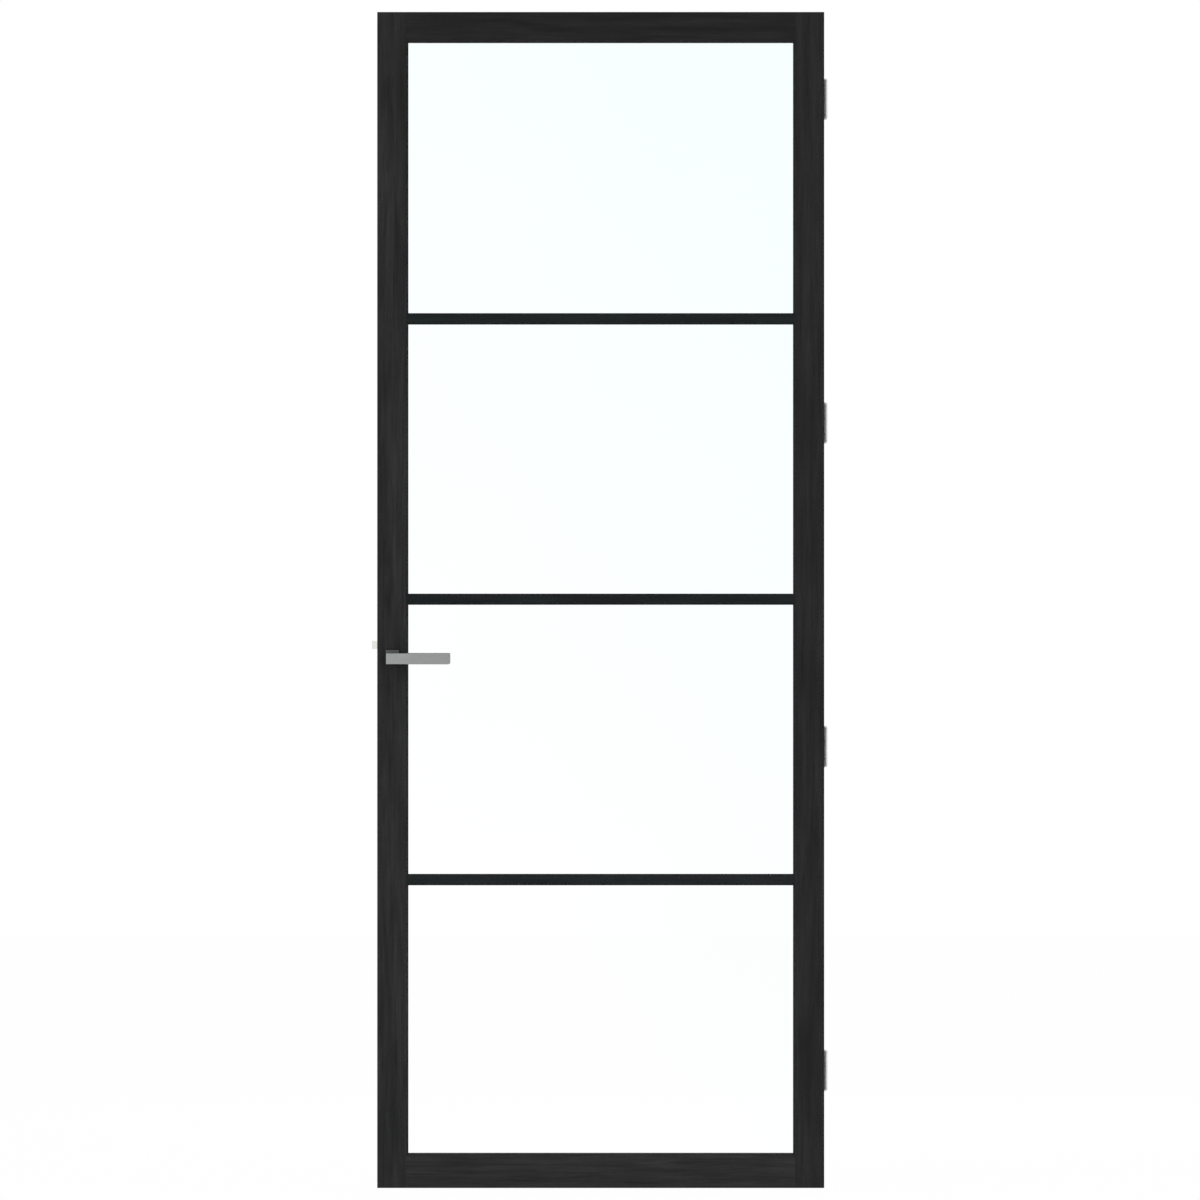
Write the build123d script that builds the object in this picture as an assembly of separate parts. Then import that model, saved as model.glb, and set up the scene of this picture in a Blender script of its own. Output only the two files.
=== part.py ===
from build123d import *
import math
import os

# Flush interior door leaf with four glass panes, a lever latch and four butt hinges.
# X runs across the leaf with the lock edge at -X, +Y points away from the push side, Z is up.
# The origin is at the middle of the leaf's bottom edge. All sizes are in millimetres.

# Leaf
leaf_w = 880.0
leaf_h = 2315.0
leaf_t = 40.0
stile_w = 61.0
top_rail_w = 60.0
bottom_rail_w = 68.0
bar_w = 22.0
bar_count = 3
bars_rise = 1.5  # of the bars' common middle above the leaf's middle
rebate_w = 8.0  # from the sight line back to the rebate's wall
sight_chamfer = 4.0
arris = 1.2  # rounding of the leaf's long outer edges

# Glazing
glass_t = 5.0
glass_edge_gap = 2.5  # between a pane's edge and the rebate's wall
glass_arris = 0.6
tape_t = 2.0
tape_inset = 0.6  # the tape stays this far behind the sight line
bead_gap = 0.2  # between a bead and the rebate's wall
block_l = 60.0  # setting blocks under a pane
block_share = 0.3  # of the pane's width, from its middle

# Dowels
rail_dowel_d = 10.0
bar_dowel_d = 8.0
dowel_reach = 30.0  # into each side of a joint
dowel_side_gap = 0.05
dowel_end_gap = 1.0
rail_dowel_share = 0.26  # of the rail's solid depth, either side of its middle

# Lock
backset = 30.0
spindle_z = 1045.0
spindle_w = 8.0
spindle_gap = 0.05  # on each side, in the follower and in the levers
forend_w = 20.0
forend_h = 165.0
forend_t = 3.0
forend_screw_place = 72.0  # from the forend's middle
seat_gap = 0.15  # round a plate that lies in a recess
case_t = 14.0
case_depth = 41.0
case_h = 80.0
case_rise = 6.0  # the case's middle above the spindle
case_wall = 1.2
case_gap = 0.3  # round the case in its mortise
post_r = 2.0
post_inset = 4.2  # of a corner post, from the case's outer faces

# Latch bolt and follower
latch_throw = 11.0
latch_h = 16.0
latch_rise = 24.0  # the bolt's middle above the spindle
latch_head_in = 13.0  # length of the bolt's head behind the leaf's edge
latch_side_gap = 0.1
latch_tip_t = 2.7
latch_tip_round = 0.8
latch_square_l = 0.5  # of the head that stays square past the leaf's edge
latch_tail_t = 4.0
latch_tail_h = 4.8
latch_hook_t = 4.0
latch_hook_reach = 1.8  # below the middle of the follower's nose at rest
latch_tail_root = 2.0  # of the tail inside the head
mouth_gap = 0.3  # round the bolt in the forend and the case
hub_r = 9.5
hub_boss_r = 8.0
hub_side_gap = 0.2
running_gap = 0.05
lever_turn = 40.0  # degrees, of the levers and the follower
arm_w = 3.4
arm_nose_r = 2.5
arm_gap = 0.3  # between the follower's nose, the bolt's hook and the stop
spring_wire = 0.8
latch_spring_r = 3.0
latch_spring_gap = 0.3
latch_spring_cover_t = 1.0  # of the head above the spring's pocket
latch_pocket_depth = 8.0
spring_seat_t = 2.3
follower_spring_t = 3.0
follower_spring_band = 2.5
follower_spring_leg = 19.0
lug_gap = 0.4  # between a lug of the case and what passes it
stop_t = 3.0
stop_reach = 4.0  # of the stop below the nose's middle
guide_t = 1.5
guide_l = 12.0

# Levers and roses
lever_l = 124.5
lever_h = 22.0
lever_t = 9.0
lever_reach = 52.0  # from the leaf's face to the lever's outer face
lever_overhang = 11.5  # past the spindle's axis, on the lock edge's side
lever_drop = 3.0  # the lever's middle below the spindle's axis
lever_round = 2.5
lever_inner_round = 0.6
lever_tip_round = 3.0
neck_r = 7.5
neck_start = 0.5  # from the leaf's face
neck_root = 1.0  # of the neck inside the bar
spindle_end_gap = 2.0  # at the bottom of each lever's socket
socket_depth = 30.0
grub_r = 2.5
grub_place = 20.0  # from the leaf's face
rose_w = 26.0
rose_h = 28.0
rose_t = 6.0
rose_wall = 1.2
rose_round = 1.0
rose_neck_gap = 0.4
rose_base_t = 3.0
rose_base_gap = 0.2
rose_screw_x = 8.2
rose_screw_z = 9.2
rose_screw_l = 12.0
rose_screw_point_l = 2.5
boss_hole_r = 9.0  # through the stile, for the spindle

# Hinges
hinge_count = 4
hinge_h = 76.0
hinge_half_w = 38.0  # from the pin's axis to a leaf's far edge
hinge_plate_t = 2.5
hinge_corner_r = 8.0
hinge_top_place = 170.0  # middle of the top hinge below the leaf's top
hinge_low_place = 230.0  # middle of the lowest hinge above the leaf's bottom
hinge_leaf_gap = 3.0  # between the two leaves of a shut hinge
knuckle_count = 5
knuckle_gap = 1.0
knuckle_face_gap = 0.45  # between the knuckles and the leaf's face
notch_gap = 0.3  # between a leaf's notch and the other leaf's knuckle
pin_r = 3.0
pin_head_r = 4.6
pin_head_h = 2.6
pin_crown_inset = 1.2  # from the head's edge to the rim of its crown
pin_shoulder_h = 1.0
washer_t = 0.8
hinge_screw_far = 9.0  # from the leaf's far edge to the far screws
hinge_screw_near = 21.0
hinge_screws_wide = 56.0  # between the two screws of the wide pair
hinge_screws_narrow = 24.0

# Wood screws
screw_r = 2.0
screw_head_r = 4.0
head_gap = 0.1  # round and under a screw's flat head
screw_l = 28.0
screw_hole_gap = 0.25  # in a metal plate
screw_wood_gap = 0.1
screw_point_l = 6.0
screw_tip_r = 0.3
screw_end_gap = 1.0  # between a screw's tip and the bottom of its hole
small_screw_r = 1.5
small_screw_head_r = 2.8

# Planes and lines that several pieces share
near = 0.01  # what lies this close counts as in a plane
front = -leaf_t / 2
back = leaf_t / 2
lip_t = (leaf_t - glass_t) / 2 - tape_t
lip_back = front + lip_t
bead_front = back - lip_t
edge_x = leaf_w / 2
sight_x = edge_x - stile_w
wall_x = sight_x + rebate_w
glass_bite = rebate_w - glass_edge_gap
pane_count = bar_count + 1
bar_pitch = (leaf_h - bottom_rail_w - top_rail_w + bar_w) / pane_count
spindle_x = -edge_x + backset
case_x = -edge_x + forend_t
case_z = spindle_z + case_rise
hinge_axis_x = edge_x + hinge_leaf_gap / 2
knuckle_r = pin_r + running_gap + hinge_plate_t
hinge_axis_y = back + knuckle_face_gap + knuckle_r
knuckle_h = (hinge_h - (knuckle_count - 1) * knuckle_gap) / knuckle_count


def bar_middle(i):
    """Height of bar i, counted from the top: the bars are set out from the leaf's middle."""
    return leaf_h / 2 + bars_rise + ((bar_count - 1) / 2 - i) * bar_pitch


def pane_floor(i):
    """Height of the lower sight line of pane i, counted from the top."""
    return bar_middle(i) + bar_w / 2 if i < bar_count else bottom_rail_w


def pane_top(i):
    return bar_middle(i - 1) - bar_w / 2 if i > 0 else leaf_h - top_rail_w


def hinge_middle(i):
    low, high = hinge_low_place, leaf_h - hinge_top_place
    return high - i * (high - low) / (hinge_count - 1)


def block(x0, x1, y0, y1, z0, z1):
    return Pos((x0 + x1) / 2, (y0 + y1) / 2, (z0 + z1) / 2) * Box(x1 - x0, y1 - y0, z1 - z0)


def prism(points, length, way):
    return extrude(make_face(Polyline(*points, close=True)), amount=length, dir=way)


def rod(start, way, r, length):
    return extrude(Plane(origin=start, z_dir=way) * Circle(r), amount=length)


def tube(start, way, outer_r, inner_r, length):
    return rod(start, way, outer_r, length) - rod(start, way, inner_r, length)


def turned(start, way, outline):
    """A turned solid: outline gives its radius at each distance along the way."""
    at = Plane(origin=start, z_dir=way)
    points = [(0, outline[0][0])] + [(r, d) for d, r in outline] + [(0, outline[-1][0])]
    face = make_face(Polyline(*[(r, 0, d) for r, d in points], close=True))
    return at * revolve(face, Axis.Z)


def countersunk_screw(start, way, r, head_r, length, point):
    """Screw whose flat head lies at start and whose point goes the given way."""
    cone = head_r - r
    return turned(start, way, [(0, head_r), (cone, r), (length - point, r), (length, screw_tip_r)])


def screw_seat(start, way, r, head_r, depth):
    """What a hole countersunk for a head takes out of a plate, with its mouth at start."""
    mouth_r = head_r + 2 * head_gap
    return turned(start, way, [(0, mouth_r), (mouth_r - r, r), (depth, r)])


def edges_at(shape, axis, place):
    """Edges of a shape whose middle lies at a place along an axis."""
    return shape.edges().filter_by(lambda e: abs(e.center().dot(axis.direction) - place) < near)


# Frame of the leaf: stiles run full height, rails and bars are scribed between them

def stile_blank(side):
    outline = [
        (edge_x, front), (sight_x + sight_chamfer, front), (sight_x, front + sight_chamfer),
        (sight_x, lip_back), (wall_x, lip_back), (wall_x, back), (edge_x, back),
    ]
    blank = prism([(side * x, y, 0) for x, y in outline], leaf_h, (0, 0, 1))
    return fillet(edges_at(blank, Axis.X, side * edge_x).filter_by(Axis.Z), arris)


def rail_blank(outer_z, sight_z):
    up = 1 if sight_z > outer_z else -1
    outline = [
        (front, outer_z), (front, sight_z - up * sight_chamfer), (front + sight_chamfer, sight_z),
        (lip_back, sight_z), (lip_back, sight_z - up * rebate_w), (back, sight_z - up * rebate_w),
        (back, outer_z),
    ]
    return prism([(-wall_x, y, z) for y, z in outline], 2 * wall_x, (1, 0, 0))


def bar_blank(middle):
    half, web = bar_w / 2, bar_w / 2 - rebate_w
    right = [
        (front, half - sight_chamfer), (front + sight_chamfer, half), (lip_back, half),
        (lip_back, web), (back, web),
    ]
    outline = right + [(y, -z) for y, z in reversed(right)]
    return prism([(-wall_x, y, middle + z) for y, z in outline], 2 * wall_x, (1, 0, 0))


def rail_dowel_heights(outer_z, sight_z):
    """Heights of the two dowels at each end of a rail, in its solid part behind the rebate."""
    floor_z = sight_z - rebate_w if sight_z > outer_z else sight_z + rebate_w
    middle, spread = (outer_z + floor_z) / 2, abs(floor_z - outer_z) * rail_dowel_share
    return [middle - spread, middle + spread]


def dowel_lines():
    """Middle and radius of each dowel, at the face where its two pieces meet."""
    rail_y, bar_y = (lip_back + back) / 2, (front + lip_back) / 2
    lines = []
    for side in (-1, 1):
        for outer_z, sight_z in ((leaf_h, leaf_h - top_rail_w), (0, bottom_rail_w)):
            for z in rail_dowel_heights(outer_z, sight_z):
                lines.append((side * wall_x, rail_y, z, rail_dowel_d / 2))
        for i in range(bar_count):
            lines.append((side * sight_x, bar_y, bar_middle(i), bar_dowel_d / 2))
    return lines


def dowels():
    half = dowel_reach - dowel_end_gap
    return [rod((x - half, y, z), (1, 0, 0), r, 2 * half) for x, y, z, r in dowel_lines()]


def bore_dowels(piece):
    box = piece.bounding_box()
    for x, y, z, r in dowel_lines():
        if box.min.X - near <= x <= box.max.X + near and box.min.Z <= z <= box.max.Z:
            piece -= rod((x - dowel_reach, y, z), (1, 0, 0), r + dowel_side_gap, 2 * dowel_reach)
    return piece


def forend_outline(gap):
    """The forend's long plate with round ends, grown by a gap, in the plane of the leaf's edge."""
    face = SlotOverall(forend_h + 2 * gap, forend_w + 2 * gap)
    return Plane(origin=(-edge_x, 0, case_z), x_dir=(0, 0, 1), z_dir=(1, 0, 0)) * face


def forend_screw_points():
    return [(-edge_x, 0, case_z + side * forend_screw_place) for side in (-1, 1)]


def rose_screw_points(face_side):
    """Screws stand in two opposite corners of a rose, and in the other two on the other face."""
    return [
        (spindle_x + side * face_side * rose_screw_x, spindle_z + side * rose_screw_z)
        for side in (-1, 1)
    ]


def lock_stile():
    stile = bore_dowels(stile_blank(-1))
    stile -= extrude(forend_outline(seat_gap), amount=forend_t)
    half_t, half_h = case_t / 2 + case_gap, case_h / 2 + case_gap
    stile -= block(-edge_x, case_x + case_depth + case_gap, -half_t, half_t,
                   case_z - half_h, case_z + half_h)
    stile -= rod((spindle_x, front, spindle_z), (0, 1, 0), boss_hole_r, leaf_t)
    for x, y, z in forend_screw_points():
        stile -= rod((x, y, z), (1, 0, 0), screw_r + screw_wood_gap, screw_l + screw_end_gap)
    for side in (-1, 1):
        for x, z in rose_screw_points(side):
            stile -= rod((x, side * back, z), (0, -side, 0), small_screw_r + screw_wood_gap,
                         rose_screw_l - rose_base_t + screw_end_gap)
    return stile


def hinge_stile():
    stile = bore_dowels(stile_blank(1))
    for i in range(hinge_count):
        middle = hinge_middle(i)
        stile -= hinge_recess(middle)
        for y, z in hinge_screw_points(-1, middle):
            stile -= rod((edge_x, y, z), (-1, 0, 0), screw_r + screw_wood_gap, screw_l + screw_end_gap)
    return stile


def rail(outer_z, sight_z):
    return bore_dowels(rail_blank(outer_z, sight_z) - stile_blank(-1) - stile_blank(1))


def glazing_bar(i):
    return bore_dowels(bar_blank(bar_middle(i)) - stile_blank(-1) - stile_blank(1))


# Glazing: each pane lies in the rebates on blocks and tape, and beads hold it from the back

def glass_pane(i):
    half_x, low = sight_x + glass_bite, pane_floor(i) - glass_bite
    high = pane_top(i) + glass_bite
    pane = block(-half_x, half_x, -glass_t / 2, glass_t / 2, low, high)
    return chamfer(pane.edges().filter_by(Axis.Y, reverse=True), glass_arris)


def glazing_tapes():
    """Two rings of tape for each pane, one on each face of its edge."""
    rings = []
    for i in range(pane_count):
        for y in (lip_back, glass_t / 2):
            rings.append(pane_ring(i, glass_bite, tape_inset, y, y + tape_t))
    return rings


def pane_ring(i, outer, inner, y0, y1):
    low, high = pane_floor(i), pane_top(i)
    ring = block(-sight_x - outer, sight_x + outer, y0, y1, low - outer, high + outer)
    return ring - block(-sight_x - inner, sight_x + inner, y0, y1, low - inner, high + inner)


def setting_blocks():
    blocks = []
    half_x, half_y = block_l / 2, glass_t / 2 + tape_t / 2
    for i in range(pane_count):
        floor_z = pane_floor(i) - rebate_w
        for side in (-1, 1):
            x = side * block_share * 2 * sight_x
            blocks.append(block(x - half_x, x + half_x, -half_y, half_y, floor_z, floor_z + glass_edge_gap))
    return blocks


def bead_profile():
    """Section of a bead: distance outwards from the sight line, and depth in the leaf."""
    wide = rebate_w - bead_gap
    return [(0, bead_front), (0, back - sight_chamfer), (sight_chamfer, back), (wide, back),
            (wide, bead_front)]


def level_bead(i, up):
    """Bead along the top (up = 1) or the bottom (up = -1) of a pane, mitred at both ends."""
    sight_z = pane_top(i) if up > 0 else pane_floor(i)
    wide = rebate_w - bead_gap
    far = sight_x + wide
    bead = prism([(-far, y, sight_z + up * a) for a, y in bead_profile()], 2 * far, (1, 0, 0))
    mitre = [(-sight_x, sight_z), (sight_x, sight_z), (far, sight_z + up * wide), (-far, sight_z + up * wide)]
    return bead & prism([(x, bead_front, z) for x, z in mitre], lip_t, (0, 1, 0))


def upright_bead(i, side):
    """Bead along the lock side (side = -1) or the hinge side (side = 1) of a pane."""
    wide = rebate_w - bead_gap
    low, high = pane_floor(i), pane_top(i)
    bead = prism([(side * (sight_x + a), y, low - wide) for a, y in bead_profile()],
                 high - low + 2 * wide, (0, 0, 1))
    near, far = side * sight_x, side * (sight_x + wide)
    mitre = [(near, low), (near, high), (far, high + wide), (far, low - wide)]
    return bead & prism([(x, bead_front, z) for x, z in mitre], lip_t, (0, 1, 0))


# Latch: a bevelled bolt that the follower's arm draws in when a lever is pressed

arm_rest = math.radians(lever_turn / 2)  # the arm leans this far to the lock edge at rest
arm_r = latch_throw / (2 * math.sin(arm_rest))
nose_x = spindle_x - arm_r * math.sin(arm_rest)
nose_z = spindle_z + arm_r * math.cos(arm_rest)
hook_x = nose_x + arm_nose_r + arm_gap
tail_floor = spindle_z + arm_r + arm_nose_r + 2 * arm_gap
latch_z = spindle_z + latch_rise
latch_half_t = case_t / 2 - case_wall - latch_side_gap
latch_rear = -edge_x + latch_head_in
latch_pocket_x = latch_rear - latch_pocket_depth
latch_spring_z = latch_z + latch_h / 2 - latch_spring_r - latch_spring_cover_t
spring_seat_x = case_x + case_depth - case_wall - spring_seat_t


def latch_bolt():
    tip_x = -edge_x - latch_throw
    outline = [
        (latch_rear, -latch_half_t), (-edge_x - latch_square_l, -latch_half_t),
        (tip_x, latch_half_t - latch_tip_t), (tip_x, latch_half_t), (latch_rear, latch_half_t),
    ]
    head = prism([(x, y, latch_z - latch_h / 2) for x, y in outline], latch_h, (0, 0, 1))
    head = fillet(edges_at(head, Axis.X, tip_x).filter_by(Axis.Z), latch_tip_round)
    half_t, end_x = latch_tail_t / 2, hook_x + latch_hook_t
    tail = block(latch_rear - latch_tail_root, end_x, -half_t, half_t, tail_floor, tail_floor + latch_tail_h)
    hook = block(hook_x, end_x, -half_t, half_t, nose_z - latch_hook_reach, tail_floor)
    pocket = rod((latch_pocket_x, 0, latch_spring_z), (1, 0, 0), latch_spring_r + latch_spring_gap,
                 latch_pocket_depth)
    return head + tail + hook - pocket


def latch_spring():
    return tube((latch_pocket_x, 0, latch_spring_z), (1, 0, 0), latch_spring_r,
                latch_spring_r - spring_wire, spring_seat_x - latch_pocket_x)


def square_hole(y0, y1):
    half = spindle_w / 2 + spindle_gap
    return block(spindle_x - half, spindle_x + half, y0, y1, spindle_z - half, spindle_z + half)


def follower():
    half_in = case_t / 2 - case_wall - hub_side_gap
    hub = rod((spindle_x, -half_in, spindle_z), (0, 1, 0), hub_r, 2 * half_in)
    hub += rod((spindle_x, -case_t / 2, spindle_z), (0, 1, 0), hub_boss_r, case_t)
    lean, half_t, half_w = math.sin(arm_rest), latch_tail_t / 2, arm_w / 2
    rise = math.cos(arm_rest)
    outline = [
        (spindle_x - half_w * rise, spindle_z - half_w * lean),
        (spindle_x + half_w * rise, spindle_z + half_w * lean),
        (nose_x + half_w * rise, nose_z + half_w * lean),
        (nose_x - half_w * rise, nose_z - half_w * lean),
    ]
    arm = prism([(x, -half_t, z) for x, z in outline], latch_tail_t, (0, 1, 0))
    arm += rod((nose_x, -half_t, nose_z), (0, 1, 0), arm_nose_r, latch_tail_t)
    return hub + arm - square_hole(-case_t, case_t)


def follower_spring():
    """Coil round the follower's hub, beside the arm, with one leg down the back of the case."""
    y0 = latch_tail_t / 2 + arm_gap
    inner = hub_r + arm_gap
    outer = inner + follower_spring_band
    coil = tube((spindle_x, y0, spindle_z), (0, 1, 0), outer, inner, follower_spring_t)
    leg = block(spindle_x + inner, spindle_x + outer, y0, y0 + follower_spring_t,
                spindle_z - follower_spring_leg, spindle_z)
    return coil + leg


def case_posts(r, y0, y1):
    low, high = case_z - case_h / 2 + post_inset, case_z + case_h / 2 - post_inset
    near, far = case_x + post_inset, case_x + case_depth - post_inset
    return [rod((x, y0, z), (0, 1, 0), r, y1 - y0) for x in (near, far) for z in (low, high)]


def bolt_mouth(x0, x1):
    half_t, half_h = latch_half_t + mouth_gap, latch_h / 2 + mouth_gap
    return block(x0, x1, -half_t, half_t, latch_z - half_h, latch_z + half_h)


def lock_case():
    half_t, half_h, inner_x = case_t / 2, case_h / 2, case_x + case_depth
    case = block(case_x, inner_x, -half_t, half_t - case_wall, case_z - half_h, case_z + half_h)
    case -= block(case_x + case_wall, inner_x - case_wall, case_wall - half_t, half_t,
                  case_z - half_h + case_wall, case_z + half_h - case_wall)
    case -= rod((spindle_x, -half_t, spindle_z), (0, 1, 0), hub_boss_r + running_gap, case_wall)
    case -= bolt_mouth(case_x, case_x + case_wall)
    for post in case_posts(post_r, case_wall - half_t, half_t):
        case += post
    depth = (case_wall - half_t, half_t - case_wall)
    lug_floor = tail_floor + latch_tail_h + lug_gap
    case += block(spring_seat_x, inner_x - case_wall, *depth, lug_floor, latch_z + latch_h / 2)
    stop_x = nose_x - arm_nose_r - arm_gap
    case += block(stop_x - stop_t, stop_x, case_wall - half_t, latch_tail_t / 2, nose_z - stop_reach,
                  latch_z - latch_h / 2 - lug_gap)
    guide_top = latch_z + latch_h / 2 + latch_side_gap
    case += block(case_x + case_wall, case_x + case_wall + guide_l, *depth, guide_top, guide_top + guide_t)
    return case


def lock_cover():
    half_t, half_h = case_t / 2, case_h / 2
    cover = block(case_x, case_x + case_depth, half_t - case_wall, half_t, case_z - half_h, case_z + half_h)
    cover -= rod((spindle_x, half_t - case_wall, spindle_z), (0, 1, 0), hub_boss_r + running_gap, case_wall)
    for hole in case_posts(post_r + running_gap, half_t - case_wall, half_t):
        cover -= hole
    return cover


def lock_forend():
    plate = extrude(forend_outline(0), amount=forend_t) - bolt_mouth(-edge_x, case_x)
    for point in forend_screw_points():
        plate -= screw_seat(point, (1, 0, 0), screw_r + screw_hole_gap, screw_head_r, forend_t)
    return plate


def forend_screws():
    return [countersunk_screw((x + head_gap, y, z), (1, 0, 0), screw_r, screw_head_r, screw_l, screw_point_l)
            for x, y, z in forend_screw_points()]


# Levers: a flat bar on a round neck, one on each face of the leaf, joined by the spindle

def spindle():
    half, reach = spindle_w / 2, back + socket_depth - spindle_end_gap
    return block(spindle_x - half, spindle_x + half, -reach, reach, spindle_z - half, spindle_z + half)


def lever(side):
    """Lever on the front (side = -1) or the back (side = 1)."""
    face, outer = side * back, side * (back + lever_reach)
    inner = outer - side * lever_t
    x0, middle = spindle_x - lever_overhang, spindle_z - lever_drop
    bar = block(x0, x0 + lever_l, min(inner, outer), max(inner, outer),
                middle - lever_h / 2, middle + lever_h / 2)
    bar = fillet(bar.edges().filter_by(Axis.Y).sort_by(Axis.X)[-2:], lever_tip_round)
    bar = fillet(edges_at(bar, Axis.Y, outer), lever_round)
    bar = fillet(edges_at(bar, Axis.Y, inner), lever_inner_round)
    neck = rod((spindle_x, face + side * neck_start, spindle_z), (0, side, 0), neck_r,
               lever_reach - lever_t - neck_start + neck_root)
    socket = square_hole(min(face, face + side * socket_depth), max(face, face + side * socket_depth))
    grub = rod((spindle_x, face + side * grub_place, spindle_z), (0, 0, -1), grub_r + running_gap,
               2 * neck_r)
    return bar + neck - socket - grub


def grub_screws():
    reach = spindle_w / 2 + spindle_gap
    return [rod((spindle_x, side * (back + grub_place), spindle_z - reach), (0, 0, -1), grub_r,
                neck_r - reach - neck_start) for side in (-1, 1)]


def rose_cover(side):
    """Thin square cap round the lever's neck, open to the leaf."""
    half_w, half_h, face, outer = rose_w / 2, rose_h / 2, side * back, side * (back + rose_t)
    cap = block(spindle_x - half_w, spindle_x + half_w, min(face, outer), max(face, outer),
                spindle_z - half_h, spindle_z + half_h)
    cap = fillet(edges_at(cap, Axis.Y, outer), rose_round)
    inner, in_w, in_h = outer - side * rose_wall, half_w - rose_wall, half_h - rose_wall
    cap -= block(spindle_x - in_w, spindle_x + in_w, min(face, inner), max(face, inner),
                 spindle_z - in_h, spindle_z + in_h)
    return cap - rod((spindle_x, face, spindle_z), (0, side, 0), neck_r + rose_neck_gap, rose_t)


def rose_base(side):
    """Plate under the cap, screwed to the leaf, in which the lever's neck turns."""
    inset = rose_wall + rose_base_gap
    half_w, half_h = rose_w / 2 - inset, rose_h / 2 - inset
    face, outer = side * back, side * (back + rose_base_t)
    base = block(spindle_x - half_w, spindle_x + half_w, min(face, outer), max(face, outer),
                 spindle_z - half_h, spindle_z + half_h)
    base -= rod((spindle_x, face, spindle_z), (0, side, 0), neck_r + running_gap, rose_base_t)
    for x, z in rose_screw_points(side):
        base -= screw_seat((x, outer, z), (0, -side, 0), small_screw_r + screw_wood_gap,
                           small_screw_head_r, rose_base_t)
    return base


def rose_screws():
    screws = []
    for side in (-1, 1):
        for x, z in rose_screw_points(side):
            start = (x, side * (back + rose_base_t - head_gap), z)
            screws.append(countersunk_screw(start, (0, -side, 0), small_screw_r, small_screw_head_r,
                                            rose_screw_l, rose_screw_point_l))
    return screws


# Butt hinges: two leaves with five knuckles between them, turning on a loose pin with washers

def hinge_screw_points(side, middle):
    """Place along the leaf's thickness and height of each of a hinge leaf's four screws.

    The wide pair is far from the pin on the jamb and near it on the door, so no two heads meet.
    """
    far_y = hinge_axis_y - hinge_half_w + hinge_screw_far
    near_y = hinge_axis_y - hinge_half_w + hinge_screw_near
    wide_y, narrow_y = (far_y, near_y) if side > 0 else (near_y, far_y)
    return [
        (y, middle + end * spread / 2)
        for y, spread in ((wide_y, hinge_screws_wide), (narrow_y, hinge_screws_narrow))
        for end in (-1, 1)
    ]


def plate_outline(x, middle, gap):
    """Outline of a hinge leaf with two round corners, grown by a gap, in a plane across X."""
    width, height = hinge_half_w + gap, hinge_h + 2 * gap
    plate = Plane(origin=(x, hinge_axis_y - width / 2, middle), x_dir=(0, 1, 0), z_dir=(1, 0, 0))
    face = Rectangle(width, height)
    return plate * fillet(face.vertices().sort_by(Axis.X)[:2], hinge_corner_r)


def hinge_recess(middle):
    """Recess in the leaf's edge, open to its back face."""
    return extrude(plate_outline(edge_x, middle, seat_gap), amount=hinge_plate_t, dir=(-1, 0, 0))


def knuckle_span(k, middle):
    low = middle - hinge_h / 2 + k * (knuckle_h + knuckle_gap)
    return low, low + knuckle_h


def hinge_leaf(side, middle):
    """Leaf on the door (side = -1) or on the jamb (side = 1); the jamb's has the outer knuckles."""
    inner_x = hinge_axis_x + side * hinge_leaf_gap / 2
    leaf = extrude(plate_outline(inner_x, middle, 0), amount=hinge_plate_t, dir=(side, 0, 0))
    clear = knuckle_r + notch_gap
    own = [k for k in range(knuckle_count) if (k % 2 == 0) == (side > 0)]
    for k in range(knuckle_count):
        low, high = knuckle_span(k, middle)
        if k not in own:
            leaf -= block(hinge_axis_x - clear, hinge_axis_x + clear,
                          hinge_axis_y - clear, hinge_axis_y + clear, low - knuckle_gap, high + knuckle_gap)
    for k in own:
        low, high = knuckle_span(k, middle)
        leaf += rod((hinge_axis_x, hinge_axis_y, low), (0, 0, 1), knuckle_r, knuckle_h)
    leaf -= rod((hinge_axis_x, hinge_axis_y, middle - hinge_h), (0, 0, 1), pin_r + running_gap, 2 * hinge_h)
    for y, z in hinge_screw_points(side, middle):
        leaf -= screw_seat((inner_x, y, z), (side, 0, 0), screw_r + screw_hole_gap, screw_head_r,
                           hinge_plate_t)
    return leaf


def hinge_pin(middle):
    """Pin with a low rounded head on the top knuckle and one under the bottom knuckle."""
    half, crown_r = hinge_h / 2, pin_head_r - pin_crown_inset
    upper = [
        (half, pin_r), (half, pin_head_r), (half + pin_shoulder_h, pin_head_r), (half + pin_head_h, crown_r),
    ]
    lower = [(-d, r) for d, r in reversed(upper)]
    return turned((hinge_axis_x, hinge_axis_y, middle), (0, 0, 1), lower + upper)


def hinge_washers():
    """A ring under each knuckle of the door's leaves, on the jamb knuckle that carries it."""
    rings = []
    for i in range(hinge_count):
        for k in range(0, knuckle_count - 1, 2):
            start = knuckle_span(k, hinge_middle(i))[1] + (knuckle_gap - washer_t) / 2
            rings.append(tube((hinge_axis_x, hinge_axis_y, start), (0, 0, 1), knuckle_r - notch_gap,
                              pin_r + 2 * running_gap, washer_t))
    return rings


def hinge_screws():
    points = [point for i in range(hinge_count) for point in hinge_screw_points(-1, hinge_middle(i))]
    return [countersunk_screw((edge_x - head_gap, y, z), (-1, 0, 0), screw_r, screw_head_r, screw_l,
                              screw_point_l) for y, z in points]


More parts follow.
